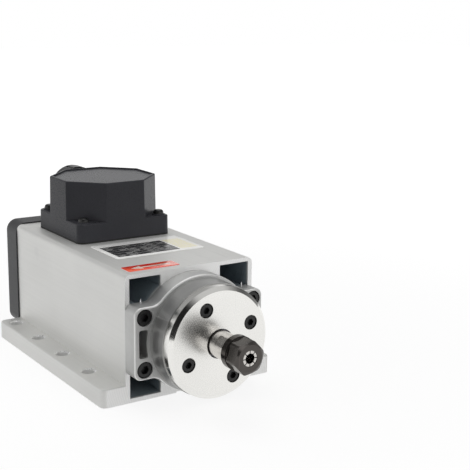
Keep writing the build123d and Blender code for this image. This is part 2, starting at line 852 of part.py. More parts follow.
def fan_cover():
    """Moulded cover: open front, rounded corners, round grille and screw posts."""
    height = fan_cover_top - fan_cover_bottom
    outline = Pos(0, cover_mid_z) * RectangleRounded(fan_cover_width, height, fan_cover_corner_radius)
    cover = along_y(outline, rear_y, cover_rear)
    rim = cover.faces().sort_by(Axis.Y)[-1].edges()
    cover = fillet(rim, fan_cover_edge_radius)
    cover -= along_y(cover_inside(), rear_y, cover_rear - fan_cover_wall)
    cover -= grille_slots()
    for x, z in fan_posts:
        cover += rod(x, z, fan_post_radius, bracket_rear, cover_rear)
    for x, z in fan_posts:
        cover -= rod(x, z, m4_radius + clearance_hole_gap, bracket_rear, cover_rear)
        cover -= rod(x, z, m4_head_radius + 0.2, cover_rear - m4_recess_depth, cover_rear)
    return cover


def grille_slots():
    """Ring-shaped air slots, cut into arcs by straight spokes."""
    wall_front = cover_rear - fan_cover_wall
    slots = None
    for index in range(grille_ring_count):
        inner = grille_first_radius + index * (grille_slot + grille_bar)
        ring = sleeve(inner, inner + grille_slot, wall_front, cover_rear)
        slots = ring if slots is None else slots + ring
    for index in range(grille_spoke_count // 2):
        spoke = Pos(0, (wall_front + cover_rear) / 2, axis_height) * Box(
            3 * core_radius, fan_cover_wall, grille_spoke_width
        )
        slots -= about_axis(spoke, 30 + 360 * index / grille_spoke_count)
    return slots


# ---------------------------------------------------------------- terminal box

def box_outline(height, inset=0.0):
    """Rectangular skirt outline at a height above the housing top."""
    lean = height * tan(radians(box_draft)) + inset
    return RectangleRounded(
        2 * (box_half_x - lean), 2 * (box_half_y - lean), box_corner_radius - min(inset, box_wall)
    )


def tower_outline(height, inset=0.0):
    """Octagonal tower outline at a height above the housing top."""
    lean = height * tan(radians(box_draft)) + inset
    x = box_half_x - lean
    y = box_half_y - lean
    cut = box_corner_cut - 0.586 * inset
    points = [
        (x, cut - y), (x, y - cut), (x - cut, y), (cut - x, y),
        (-x, y - cut), (-x, cut - y), (cut - x, -y), (x - cut, -y),
    ]
    tower = make_face(Polyline(*points, close=True))
    return fillet(tower.vertices(), max(tower_corner_radius - inset, 0.2))


def at_height(height):
    return Plane(origin=(0, box_y, housing_height + height))


def lofted(outline, bottom, top, inset=0.0):
    return loft([at_height(bottom) * outline(bottom, inset), at_height(top) * outline(top, inset)])


def terminal_box():
    """Moulded hood: drafted skirt, octagonal tower, screw ledges and a gland pad."""
    skirt = lofted(box_outline, gasket_thickness, box_ledge_height)
    tower = lofted(tower_outline, gasket_thickness, box_height)
    box = fillet(skirt.faces().sort_by(Axis.Z)[-1].edges(), box_edge_radius)
    box += fillet(tower.faces().sort_by(Axis.Z)[-1].edges(), box_edge_radius)
    screw_seat = housing_height + box_ledge_height + box_boss_rise
    for x, y in box_screw_places():
        boss = upright(x, y, box_boss_radius, housing_height + gasket_thickness, screw_seat)
        box += fillet(boss.faces().sort_by(Axis.Z)[-1].edges(), box_boss_rise * 0.7)
    box += along_y(Pos(0, gland_z) * Circle(gland_pad_radius) & gland_flat(), box_y, pad_face)
    room = lofted(box_outline, gasket_thickness, box_ledge_height - box_wall, box_wall)
    room += lofted(tower_outline, gasket_thickness, box_height - box_wall - box_rim_depth, box_wall)
    for x, y in box_screw_places():
        room -= upright(x, y, box_post_radius, housing_height, housing_height + box_ledge_height)
    box -= room
    box -= lofted(tower_outline, box_height - box_rim_depth, box_height, box_rim_width)
    box -= rod(0, gland_z, gland_thread_radius + clearance_hole_gap, box_y + box_half_y / 2, pad_face)
    for x, y in box_screw_places():
        box -= upright(x, y, box_screw_radius + clearance_hole_gap, housing_height, screw_seat)
    return box


def gland_flat():
    """Band of the rear wall that the gland pad may cover."""
    return Pos(0, gland_z) * Rectangle(2 * box_flat_half, 4 * gland_pad_radius)


def box_gasket():
    outer = at_height(0) * RectangleRounded(2 * box_half_x, 2 * box_half_y, box_corner_radius)
    inner = at_height(0) * RectangleRounded(
        2 * (box_half_x - gasket_band), 2 * (box_half_y - gasket_band), box_corner_radius / 2
    )
    gasket = extrude(outer - inner, amount=gasket_thickness)
    for x, y in box_screw_places():
        gasket += upright(x, y, box_post_radius, housing_height, housing_height + gasket_thickness)
    for x, y in box_screw_places():
        gasket -= upright(
            x, y, box_screw_radius + clearance_hole_gap, housing_height, housing_height + gasket_thickness
        )
    return gasket


def box_screws():
    """Domed screws on the four ledges, threaded into the housing top."""
    screw_seat = housing_height + box_ledge_height + box_boss_rise
    screws = []
    for x, y in box_screw_places():
        head = upright(x, y, box_screw_head_radius, screw_seat, screw_seat + box_screw_head_height)
        head = fillet(head.faces().sort_by(Axis.Z)[-1].edges(), box_screw_head_height * 0.7)
        shank = box_screw_radius - thread_gap
        screws.append(head + upright(x, y, shank, housing_height - box_screw_grip, screw_seat))
    return Compound(children=screws)


def terminal_block():
    """Barrier strip on the housing top inside the box."""
    y = box_y + block_offset
    block = Pos(0, y, housing_height + block_height / 2) * Box(block_length, block_width, block_height)
    step_depth = terminal_screw_height + 1
    for index in range(terminal_count):
        x = (index - (terminal_count - 1) / 2) * terminal_pitch
        block -= Pos(x, y, housing_height + block_height - step_depth / 2) * Box(
            terminal_pitch - terminal_barrier, block_width, step_depth
        )
    return block


def terminal_screws():
    y = box_y + block_offset
    seat = housing_height + block_height - terminal_screw_height - 1
    return Compound(children=[
        upright(
            (index - (terminal_count - 1) / 2) * terminal_pitch,
            y,
            terminal_screw_radius,
            seat,
            seat + terminal_screw_height,
        )
        for index in range(terminal_count)
    ])


# ---------------------------------------------------------------- cable gland

def gland_body():
    """Gland body: thread through the box wall, hexagon and the neck under the cap."""
    hex_rear = pad_face + gland_hex_length
    inside = locknut_rear - gland_locknut_thickness - 1
    body = rod(0, gland_z, gland_thread_radius, inside, pad_face)
    body += along_y(Pos(0, gland_z) * hexagon(gland_hex), pad_face, hex_rear)
    body += rod(0, gland_z, gland_neck_radius, hex_rear, hex_rear + gland_neck_length)
    body -= rod(0, gland_z, gland_bore_radius, inside, hex_rear)
    return body - rod(0, gland_z, gland_neck_bore_radius, hex_rear, hex_rear + gland_neck_length)


def gland_locknut():
    front = locknut_rear - gland_locknut_thickness
    nut = along_y(Pos(0, gland_z) * hexagon(gland_locknut_hex), front, locknut_rear)
    return nut - rod(0, gland_z, gland_thread_radius + thread_gap, front, locknut_rear)


def gland_seal():
    """Rubber sleeve that grips the cable inside the neck."""
    hex_rear = pad_face + gland_hex_length
    outer = gland_neck_bore_radius - seat_gap
    seal = rod(0, gland_z, outer, hex_rear, hex_rear + gland_neck_length)
    return seal - rod(0, gland_z, gland_seal_bore_radius, hex_rear, hex_rear + gland_neck_length)


def gland_cap():
    """Ribbed dome nut at the rear of the gland."""
    front = pad_face + gland_hex_length
    rear = front + gland_cap_length
    cap = rod(0, gland_z, gland_cap_radius, front, rear)
    cap = fillet(cap.faces().sort_by(Axis.Y)[-1].edges(), gland_cap_radius * 0.3)
    for index in range(gland_rib_count):
        turn = radians(360 * (index + 0.5) / gland_rib_count)
        x = gland_cap_radius * cos(turn)
        z = gland_z + gland_cap_radius * sin(turn)
        cap -= rod(x, z, gland_rib_radius, front, rear - gland_cap_radius * 0.3)
    cap -= rod(0, gland_z, gland_neck_radius + thread_gap, front, front + gland_neck_length + 0.3)
    return cap - rod(0, gland_z, gland_cap_mouth_radius, front, rear)


# ---------------------------------------------------------------- write the nodes

def front_bearing_nodes():
    spans = front_bearing_spans()
    bore = front_bearing_bore
    outer = front_bearing_outer
    balls = []
    for front, rear in spans:
        balls += bearing_balls(bore, outer, front, rear, front_ball_count)
    return {
        "front_bearing_outer_rings": Compound(
            children=[bearing_outer_ring(bore, outer, front, rear) for front, rear in spans]
        ),
        "front_bearing_inner_rings": Compound(
            children=[bearing_inner_ring(bore, outer, front, rear) for front, rear in spans]
        ),
        "front_bearing_cages": Compound(
            children=[bearing_cage(bore, outer, front, rear, front_ball_count) for front, rear in spans]
        ),
        "front_bearing_balls": Compound(children=balls),
    }


def rear_bearing_nodes():
    bore = rear_bearing_bore
    outer = rear_bearing_outer
    front = rear_bearing_front
    rear = spring_front
    return {
        "rear_bearing_outer_ring": bearing_outer_ring(bore, outer, front, rear),
        "rear_bearing_inner_ring": bearing_inner_ring(bore, outer, front, rear),
        "rear_bearing_cage": bearing_cage(bore, outer, front, rear, rear_ball_count),
        "rear_bearing_balls": Compound(children=bearing_balls(bore, outer, front, rear, rear_ball_count)),
    }


nodes = {
    "motor_housing": motor_housing(),
    "stator_core": stator_core(),
    "stator_windings": stator_windings(),
    "front_end_shield": front_end_shield(),
    "end_shield_screws": end_shield_screws(),
    "front_flange_cover": front_flange_cover(),
    "flange_cover_screws": flange_cover_screws(),
    "front_outer_spacer": front_outer_spacer(),
    "front_inner_spacer": front_inner_spacer(),
    "bearing_locknut": bearing_locknut(),
    "rear_bearing_bracket": rear_bearing_bracket(),
    "rear_bracket_screws": rear_bracket_screws(),
    "preload_spring": preload_spring(),
    "fan_cover": fan_cover(),
    "fan_cover_screws": fan_cover_screws(),
    "cooling_fan": cooling_fan(),
    "fan_clip": fan_clip(),
    "spindle_shaft": spindle_shaft(),
    "rotor_core": rotor_core(),
    "rotor_end_rings": rotor_end_rings(),
    "collet": collet(),
    "collet_nut": collet_nut(),
    "terminal_box": terminal_box(),
    "box_gasket": box_gasket(),
    "box_screws": box_screws(),
    "terminal_block": terminal_block(),
    "terminal_screws": terminal_screws(),
    "gland_body": gland_body(),
    "gland_locknut": gland_locknut(),
    "gland_seal": gland_seal(),
    "gland_cap": gland_cap(),
}
nodes.update(front_bearing_nodes())
nodes.update(rear_bearing_nodes())

os.makedirs("parts", exist_ok=True)
for name, shape in nodes.items():
    export_step(shape, f"parts/{name}.step")
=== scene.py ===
from math import cos, radians, sin

import bmesh
import bpy
from mathutils import Matrix, Vector


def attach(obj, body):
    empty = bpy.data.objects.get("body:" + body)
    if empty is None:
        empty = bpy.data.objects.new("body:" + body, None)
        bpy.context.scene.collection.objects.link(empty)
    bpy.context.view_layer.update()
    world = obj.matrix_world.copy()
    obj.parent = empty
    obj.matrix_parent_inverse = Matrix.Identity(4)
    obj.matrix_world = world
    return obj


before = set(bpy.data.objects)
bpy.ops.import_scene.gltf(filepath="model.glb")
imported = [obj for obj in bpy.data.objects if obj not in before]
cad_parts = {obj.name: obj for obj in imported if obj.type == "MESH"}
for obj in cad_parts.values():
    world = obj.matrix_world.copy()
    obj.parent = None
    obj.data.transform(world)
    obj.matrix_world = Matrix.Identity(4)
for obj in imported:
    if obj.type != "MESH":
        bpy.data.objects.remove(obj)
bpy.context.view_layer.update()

# ---------------------------------------------------------------- camera
# The view from the nose end, a little above and to the left of the spindle, through a long lens.
# The image is square. The yaw turns the view from +Y towards +X and the pitch looks down.
camera_place = Vector((-0.3285, -0.6294, 0.2447))
camera_yaw = radians(34.08)
camera_pitch = radians(12.82)
camera_roll = radians(0.82)
camera_lens = 79.48
camera_sensor = 36.0
forward = Vector((
    sin(camera_yaw) * cos(camera_pitch),
    cos(camera_yaw) * cos(camera_pitch),
    -sin(camera_pitch),
))
level_right = Vector((cos(camera_yaw), -sin(camera_yaw), 0))
level_up = level_right.cross(forward)
rolled_right = level_right * cos(camera_roll) + level_up * sin(camera_roll)
rolled_up = level_up * cos(camera_roll) - level_right * sin(camera_roll)
view_turn = Matrix((rolled_right, rolled_up, -forward)).transposed().to_4x4()

camera_data = bpy.data.cameras.new("view_camera")
camera_data.lens = camera_lens
camera_data.sensor_width = camera_sensor
camera_data.sensor_fit = "HORIZONTAL"
camera_data.clip_start = 0.01
camera = bpy.data.objects.new("view_camera", camera_data)
camera.matrix_world = Matrix.Translation(camera_place) @ view_turn
bpy.context.scene.collection.objects.link(camera)
bpy.context.scene.camera = camera
bpy.context.scene.view_settings.view_transform = "Standard"

# ---------------------------------------------------------------- room
# A white floor that runs out of sight and keeps the spindle's soft shadow, surroundings that are white
# to the eye and turn grey overhead in reflections, and three soft lamps: a broad one on the left, a
# low one before the nose and a stronger one overhead.
floor_size = 8.0
floor_colour = (0.22, 0.22, 0.22, 1)
floor_glow_near = 0.85
floor_glow_far = 1.0
floor_glow_start, floor_glow_end = 0.15, 1.1
surround_light = 0.9
horizon_tone = 0.95
ceiling_tone = 0.36
horizon_height, ceiling_height = 0.10, 0.50
# each patch of the surroundings: its middle's direction, how near to it the patch starts and is full
# (as a cosine), and how bright it is: dark on the left, dim on the right and bright overhead
surround_patches = (
    ((-0.70, -0.62, 0.36), 0.70, 0.90, 0.03),
    ((0.95, 0.26, 0.16), 0.76, 0.95, 0.22),
    ((0.30, -0.30, 0.91), 0.84, 0.95, 1.7),
)
# each lamp: its name, place, width, height and power in watts
lamp_aim = Vector((0, -0.02, 0.05))
softboxes = (
    ("key_softbox", (-1.15, -0.10, 0.65), 0.9, 0.7, 2.0),
    ("nose_softbox", (0.15, -1.20, 0.50), 0.8, 0.5, 1.4),
    ("overhead_softbox", (0.1, 0.25, 1.3), 0.9, 0.9, 3.6),
)


def node(tree, kind, inputs=None, **settings):
    """Add a shader node, set its options, and fill its inputs with values or with other outputs."""
    made = tree.nodes.new("ShaderNode" + kind)
    for name, value in settings.items():
        setattr(made, name, value)
    for socket, value in (inputs or {}).items():
        if isinstance(value, bpy.types.NodeSocket):
            tree.links.new(value, made.inputs[socket])
        else:
            made.inputs[socket].default_value = value
    return made


def spread(tree, value, low, high, to_low=0.0, to_high=1.0, smooth=False):
    """Stretch a value's range from low and high to two others, and hold it there."""
    kind = "SMOOTHSTEP" if smooth else "LINEAR"
    ranged = node(tree, "MapRange", {
        "Value": value, "From Min": low, "From Max": high, "To Min": to_low, "To Max": to_high,
    }, interpolation_type=kind)
    return ranged.outputs["Result"]


def calc(tree, operation, first, second=0.0):
    return node(tree, "Math", {0: first, 1: second}, operation=operation).outputs["Value"]


bpy.ops.object.select_all(action="DESELECT")
bpy.ops.mesh.primitive_plane_add(size=floor_size, location=(0, 0, 0))
floor = bpy.context.object
floor.name = "studio_floor"
floor_paint = bpy.data.materials.new("studio_floor_paint")
floor_paint.use_nodes = True
tree = floor_paint.node_tree
shader = tree.nodes["Principled BSDF"]
shader.inputs["Base Color"].default_value = floor_colour
shader.inputs["Roughness"].default_value = 0.9
shader.inputs["Specular IOR Level"].default_value = 0.1
where = node(tree, "TexCoord").outputs["Object"]
away = node(tree, "VectorMath", {0: where}, operation="LENGTH").outputs["Value"]
glow = spread(tree, away, floor_glow_start, floor_glow_end, floor_glow_near, floor_glow_far, smooth=True)
path = node(tree, "LightPath")
seen = calc(tree, "MAXIMUM", path.outputs["Is Camera Ray"], path.outputs["Is Glossy Ray"])
seen = calc(tree, "MAXIMUM", seen, path.outputs["Is Transmission Ray"])
shader.inputs["Emission Color"].default_value = (1, 1, 1, 1)
tree.links.new(calc(tree, "MULTIPLY", glow, seen), shader.inputs["Emission Strength"])
floor.data.materials.append(floor_paint)

world = bpy.data.worlds.new("studio_surround")
bpy.context.scene.world = world
world.use_nodes = True
tree = world.node_tree
facing = node(tree, "TexCoord").outputs["Generated"]
height = node(tree, "SeparateXYZ", {"Vector": facing}).outputs["Z"]
shade = spread(tree, height, horizon_height, ceiling_height, horizon_tone, ceiling_tone, smooth=True)
for toward, wide, near, tone in surround_patches:
    closeness = node(tree, "VectorMath", {
        0: facing, 1: Vector(toward).normalized(),
    }, operation="DOT_PRODUCT")
    patch = spread(tree, closeness.outputs["Value"], wide, near, 1.0, tone, smooth=True)
    shade = calc(tree, "MULTIPLY", shade, patch)
path = node(tree, "LightPath")
seen = calc(tree, "MAXIMUM", path.outputs["Is Camera Ray"], path.outputs["Is Transmission Ray"])
strength = node(tree, "Mix", {0: seen, 2: calc(tree, "MULTIPLY", shade, surround_light), 3: 1.0})
gloss = node(tree, "Mix", {0: path.outputs["Is Glossy Ray"], 2: strength.outputs[0], 3: shade})
tree.links.new(gloss.outputs[0], tree.nodes["Background"].inputs["Strength"])
tree.nodes["Background"].inputs["Color"].default_value = (1, 1, 1, 1)

for name, place, width, height, power in softboxes:
    lamp_data = bpy.data.lights.new(name, "AREA")
    lamp_data.shape = "RECTANGLE"
    lamp_data.size = width
    lamp_data.size_y = height
    lamp_data.energy = power
    lamp = bpy.data.objects.new(name, lamp_data)
    lamp.location = place
    lamp.rotation_euler = (lamp_aim - Vector(place)).to_track_quat("-Z", "Y").to_euler()
    bpy.context.scene.collection.objects.link(lamp)

# ---------------------------------------------------------------- motor housing
# One aluminium extrusion with feet, corner air ducts and a round core for the stator. It is blasted
# and clear anodised outside, and sawn and milled square at both ends. The insides of the ducts are
# painted dark as painted shade, and the foot holes are painted near white as painted light.
spindle_height = 0.041
housing_front, housing_rear = -0.09505, 0.07115
housing_colour = (0.60, 0.60, 0.585)
milled_colour = (0.976, 0.976, 0.964)
duct_shade_colour = (0.34, 0.40, 0.44)
hole_painted_light_colour = (0.96, 0.96, 0.95)
duct_inner_x, duct_outer_x = 0.0215, 0.0436
duct_floor, duct_roof, duct_core_radius = 0.0026, 0.0797, 0.0378
foot_top = 0.0120
foot_hole_x, foot_hole_pitch, foot_hole_radius, foot_hole_chamfer = 0.0544, 0.0395, 0.0043, 0.0009
foot_holes_end = 0.066


def effect(name, inputs, outputs):
    """An empty node group with named sockets, for an effect that several finishes share."""
    group = bpy.data.node_groups.new(name, "ShaderNodeTree")
    for label, kind, value in inputs:
        socket = group.interface.new_socket(label, in_out="INPUT", socket_type="NodeSocket" + kind)
        if value is not None:
            socket.default_value = value
    for label, kind in outputs:
        group.interface.new_socket(label, in_out="OUTPUT", socket_type="NodeSocket" + kind)
    given = group.nodes.new("NodeGroupInput").outputs
    result = group.nodes.new("NodeGroupOutput").inputs
    return group, given, result


# surface grain: fine pits, and broad clouds where handling and the process left it lighter or darker.
# The tone's middle is above 1, so a colour is written two thirds as bright as it comes out.
grain_middle, cloud_gain = 1.5, 4.0
grain_group, given, result = effect(
    "surface_grain",
    [
        ("Place", "Vector", None), ("Pits", "Float", 1500.0),
        ("Clouds", "Float", 22.0), ("Depth", "Float", 0.06),
    ],
    [("Height", "Float"), ("Tone", "Float")],
)
pits = node(grain_group, "TexNoise", {"Vector": given["Place"], "Scale": given["Pits"], "Detail": 3.0})
clouds = node(grain_group, "TexNoise", {"Vector": given["Place"], "Scale": given["Clouds"], "Detail": 4.0})
tone = calc(grain_group, "SUBTRACT", clouds.outputs["Fac"], 0.5)
tone = calc(grain_group, "MULTIPLY", tone, given["Depth"])
speck = calc(grain_group, "SUBTRACT", pits.outputs["Fac"], 0.5)
speck = calc(grain_group, "MULTIPLY", speck, given["Depth"])
tone = calc(grain_group, "ADD", calc(grain_group, "MULTIPLY", tone, cloud_gain), speck)
grain_group.links.new(calc(grain_group, "ADD", tone, grain_middle), result["Tone"])
grain_group.links.new(pits.outputs["Fac"], result["Height"])

# die lines: fine straight lines that the extrusion die leaves along the housing
lines_group, given, result = effect(
    "die_lines",
    [("Place", "Vector", None), ("Scale", "Float", 700.0)],
    [("Height", "Float"), ("Tone", "Float")],
)
pulled = node(lines_group, "Mapping", {"Vector": given["Place"], "Scale": (1.0, 0.012, 1.0)})
lines = node(lines_group, "TexNoise", {
    "Vector": pulled.outputs["Vector"], "Scale": given["Scale"], "Detail": 2.0,
})
lines_group.links.new(lines.outputs["Fac"], result["Height"])
lines_group.links.new(spread(lines_group, lines.outputs["Fac"], 0.3, 0.7, 0.985, 1.012), result["Tone"])

# scuffs: a few thin scratches in crossing directions from handling
scuff_group, given, result = effect(
    "scuffs", [("Place", "Vector", None), ("Amount", "Float", 1.0)], [("Mask", "Float")],
)
marks = []
for turn, seed in ((0.5, 0.0), (1.9, 3.7)):
    turned_place = node(scuff_group, "Mapping", {
        "Vector": given["Place"], "Location": (seed, seed, seed), "Rotation": (turn, turn * 0.7, turn),
        "Scale": (1.0, 0.03, 0.03),
    })
    scratch = node(scuff_group, "TexNoise", {
        "Vector": turned_place.outputs["Vector"], "Scale": 900.0, "Detail": 1.0,
    })
    marks.append(spread(scuff_group, scratch.outputs["Fac"], 0.72, 0.80))
mask = calc(scuff_group, "MULTIPLY", calc(scuff_group, "MAXIMUM", marks[0], marks[1]), given["Amount"])
scuff_group.links.new(mask, result["Mask"])


def new_finish(name, metallic, roughness):
    """A material, its node tree, its Principled shader, and the place on the part that patterns follow."""
    finish = bpy.data.materials.new(name)
    finish.use_nodes = True
    tree = finish.node_tree
    shader = tree.nodes["Principled BSDF"]
    shader.inputs["Metallic"].default_value = metallic
    shader.inputs["Roughness"].default_value = roughness
    return finish, tree, shader, node(tree, "TexCoord").outputs["Object"]


def shared(tree, group, place, **amounts):
    """The outputs of a shared effect, laid on a material's place with its own amounts."""
    return node(tree, "Group", {"Place": place, **amounts}, node_tree=group).outputs


def varied(tree, pattern, low, high):
    """A value that swings between two limits with a noise, whose own range is about 0.3 to 0.7."""
    return spread(tree, pattern, 0.3, 0.7, low, high)


def toned(tree, colour, tone):
    """A colour made lighter or darker by a tone, which leaves it alone at 1."""
    if not isinstance(colour, bpy.types.NodeSocket):
        colour = (*colour, 1.0)
    scaled = node(tree, "VectorMath", {0: (1, 1, 1), "Scale": tone}, operation="SCALE")
    mixed = node(tree, "Mix", {
        0: 1.0, 6: colour, 7: scaled.outputs["Vector"],
    }, data_type="RGBA", blend_type="MULTIPLY")
    return mixed.outputs[2]


def blended(tree, mask, first, second):
    """One colour where the mask is 0 and another where it is 1."""
    sides = [side if isinstance(side, bpy.types.NodeSocket) else (*side, 1.0) for side in (first, second)]
    return node(tree, "Mix", {0: mask, 6: sides[0], 7: sides[1]}, data_type="RGBA").outputs[2]


def bumped(tree, shader, height, strength, distance):
    """Relief too fine to model, from a height."""
    bump = node(tree, "Bump", {"Height": height, "Strength": strength, "Distance": distance})
    tree.links.new(bump.outputs["Normal"], shader.inputs["Normal"])


def dress(names, finish):
    """Give CAD nodes a material in their own slots."""
    for name in names:
        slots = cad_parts[name].data.materials
        slots.clear()
        slots.append(finish)


def axis_distance(tree, place):
    """Distance from the spindle axis, the parts of the place, and the height above the axis."""
    parts = node(tree, "SeparateXYZ", {"Vector": place}).outputs
    up = calc(tree, "SUBTRACT", parts["Z"], spindle_height)
    squares = calc(tree, "ADD", calc(tree, "POWER", parts["X"], 2.0), calc(tree, "POWER", up, 2.0))
    return calc(tree, "SQRT", squares), parts, up


housing_finish, tree, shader, place = new_finish("blasted_aluminium", 0.5, 0.5)
reach, parts = axis_distance(tree, place)[:2]
grain = shared(tree, grain_group, place, Pits=1300.0, Clouds=16.0, Depth=0.05)
lines = shared(tree, lines_group, place)
scuffs = shared(tree, scuff_group, place, Amount=0.5)
outside = toned(tree, housing_colour, calc(tree, "MULTIPLY", grain["Tone"], lines["Tone"]))
outside = blended(tree, scuffs["Mask"], outside, (0.74, 0.74, 0.73))
middle = (housing_front + housing_rear) / 2
half = (housing_rear - housing_front) / 2
from_middle = calc(tree, "ABSOLUTE", calc(tree, "SUBTRACT", parts["Y"], middle))
end_face = spread(tree, from_middle, half - 0.0002, half - 0.00005)
cutter = node(tree, "Mapping", {"Vector": place, "Location": (0.11, 0.0, -0.02)})
swirls = node(tree, "TexWave", {
    "Vector": cutter.outputs["Vector"], "Scale": 260.0,
    "Distortion": 1.5, "Detail": 2.0, "Detail Scale": 3.0,
}, wave_type="RINGS", rings_direction="Y")
milled = toned(tree, milled_colour, spread(tree, swirls.outputs["Fac"], 0.0, 1.0, 0.93, 1.03))
outside = blended(tree, end_face, outside, milled)
side = calc(tree, "ABSOLUTE", parts["X"])
# painted shade: inside the ducts, fading in from a few millimetres behind their mouths, the colour is
# painted dark and matt for the shade deep in them
in_duct = spread(tree, side, duct_inner_x - 0.0003, duct_inner_x)
for value, low, high, start, end in (
    (side, duct_outer_x, duct_outer_x + 0.0003, 1.0, 0.0),
    (reach, duct_core_radius - 0.0002, duct_core_radius, 0.0, 1.0),
    (parts["Z"], duct_floor - 0.0006, duct_floor, 0.0, 1.0),
    (parts["Z"], duct_roof, duct_roof + 0.0003, 1.0, 0.0),
    (from_middle, half - 0.0025, half - 0.0002, 1.0, 0.0),
):
    in_duct = calc(tree, "MULTIPLY", in_duct, spread(tree, value, low, high, start, end))
# painted light: the walls and chamfers of the foot holes are painted near white, for light seen through the
# holes and a painted highlight on the chamfers
hole_place = node(tree, "CombineXYZ", {
    "X": calc(tree, "SUBTRACT", side, foot_hole_x),
    "Y": calc(tree, "SUBTRACT", calc(tree, "PINGPONG", parts["Y"], foot_hole_pitch), foot_hole_pitch / 2),
})
from_hole = node(tree, "VectorMath", {0: hole_place.outputs["Vector"]}, operation="LENGTH").outputs["Value"]
hole_edge = foot_hole_radius + foot_hole_chamfer
near_hole = spread(tree, from_hole, hole_edge, hole_edge + 0.0002, 1.0, 0.0)
along = calc(tree, "ABSOLUTE", parts["Y"])
in_row = spread(tree, along, foot_holes_end, foot_holes_end + 0.001, 1.0, 0.0)
near_hole = calc(tree, "MULTIPLY", near_hole, in_row)
below_top = spread(tree, parts["Z"], foot_top - 0.00005, foot_top, 1.0, 0.0)
near_hole = calc(tree, "MULTIPLY", near_hole, below_top)
hole_rim = calc(tree, "MULTIPLY", near_hole, spread(tree, parts["Z"], foot_top - 0.0010, foot_top - 0.0008))
in_hole = calc(tree, "SUBTRACT", near_hole, hole_rim)
outside = blended(tree, near_hole, outside, hole_painted_light_colour)
tree.links.new(blended(tree, in_duct, outside, duct_shade_colour), shader.inputs["Base Color"])
rough = varied(tree, grain["Height"], 0.44, 0.54)
rough = calc(tree, "SUBTRACT", rough, calc(tree, "MULTIPLY", end_face, 0.14))
rough = calc(tree, "SUBTRACT", rough, calc(tree, "MULTIPLY", hole_rim, 0.20))
tree.links.new(calc(tree, "ADD", rough, calc(tree, "MULTIPLY", in_duct, 0.4)), shader.inputs["Roughness"])
dull = calc(tree, "MAXIMUM", in_duct, calc(tree, "MULTIPLY", in_hole, 0.7))
metal = spread(tree, dull, 0.0, 1.0, 0.5, 0.0)
tree.links.new(calc(tree, "ADD", metal, calc(tree, "MULTIPLY", hole_rim, 0.45)), shader.inputs["Metallic"])
height = calc(tree, "ADD", grain["Height"], calc(tree, "MULTIPLY", lines["Height"], 0.3))
bumped(tree, shader, height, 0.10, 0.0003)
dress(["motor_housing"], housing_finish)

# ---------------------------------------------------------------- stator
# A stack of thin electrical-steel sheets with a varnished winding: enamelled copper wire in the
# slots, its end turns laced into a ring at each end. It is pressed into the housing.
sheet_colour = (0.30, 0.31, 0.33)
enamel_colour = (0.46, 0.17, 0.045)

stack_finish, tree, shader, place = new_finish("laminated_steel", 0.9, 0.42)
sheets = node(tree, "TexWave", {"Vector": place, "Scale": 320.0, "Distortion": 0.3}, bands_direction="Y")
grain = shared(tree, grain_group, place, Clouds=60.0, Depth=0.10)
tone = calc(tree, "MULTIPLY", spread(tree, sheets.outputs["Fac"], 0.0, 1.0, 0.72, 1.05), grain["Tone"])
tree.links.new(toned(tree, sheet_colour, tone), shader.inputs["Base Color"])
bumped(tree, shader, sheets.outputs["Fac"], 0.3, 0.0002)
dress(["stator_core", "rotor_core"], stack_finish)

winding_finish, tree, shader, place = new_finish("enamelled_copper", 0.55, 0.32)
shader.inputs["Coat Roughness"].default_value = 0.18
reach, parts, up = axis_distance(tree, place)
around = calc(tree, "ARCTAN2", up, parts["X"])
turn = node(tree, "CombineXYZ", {"X": calc(tree, "MULTIPLY", reach, 30.0), "Y": parts["Y"], "Z": around})
strands = node(tree, "TexWave", {
    "Vector": turn.outputs["Vector"], "Scale": 26.0, "Distortion": 1.2,
}, bands_direction="X")
grain = shared(tree, grain_group, place, Clouds=90.0, Depth=0.14)
tone = calc(tree, "MULTIPLY", spread(tree, strands.outputs["Fac"], 0.0, 1.0, 0.62, 1.1), grain["Tone"])
tree.links.new(toned(tree, enamel_colour, tone), shader.inputs["Base Color"])
tree.links.new(spread(tree, grain["Height"], 0.35, 0.65, 0.2, 0.6), shader.inputs["Coat Weight"])
bumped(tree, shader, strands.outputs["Fac"], 0.5, 0.0004)
dress(["stator_windings"], winding_finish)

# ---------------------------------------------------------------- rotor and spindle shaft
# The shaft is one piece of hardened steel, turned and then ground bright on every seat, with two
# flats milled on its nose for the spanner. The rotor stack with its cast end rings is shrunk on it.
shaft_colour = (0.792, 0.768, 0.738)

# lathe rings: fine marks that run round the spindle axis, from turning or grinding
rings_group, given, result = effect(
    "lathe_rings",
    [("Place", "Vector", None), ("Pitch", "Float", 2600.0), ("Contrast", "Float", 0.05)],
    [("Height", "Float"), ("Tone", "Float")],
)
reach, parts = axis_distance(rings_group, given["Place"])[:2]
along = node(rings_group, "CombineXYZ", {"X": reach, "Y": parts["Y"]})
rings = node(rings_group, "TexNoise", {
    "Vector": along.outputs["Vector"], "Scale": given["Pitch"], "Detail": 3.0,
})
swing = calc(rings_group, "SUBTRACT", rings.outputs["Fac"], 0.5)
swing = calc(rings_group, "MULTIPLY", swing, calc(rings_group, "MULTIPLY", given["Contrast"], 2.0))
rings_group.links.new(calc(rings_group, "ADD", swing, 1.0), result["Tone"])
rings_group.links.new(rings.outputs["Fac"], result["Height"])

shaft_finish, tree, shader, place = new_finish("ground_steel", 1.0, 0.14)
rings = shared(tree, rings_group, place, Pitch=3200.0, Contrast=0.10)
scuffs = shared(tree, scuff_group, place, Amount=0.7)
colour = toned(tree, shaft_colour, rings["Tone"])
tree.links.new(blended(tree, scuffs["Mask"], colour, (0.8, 0.79, 0.77)), shader.inputs["Base Color"])
tree.links.new(varied(tree, rings["Height"], 0.24, 0.32), shader.inputs["Roughness"])
bumped(tree, shader, rings["Height"], 0.05, 0.0002)
dress(["spindle_shaft"], shaft_finish)

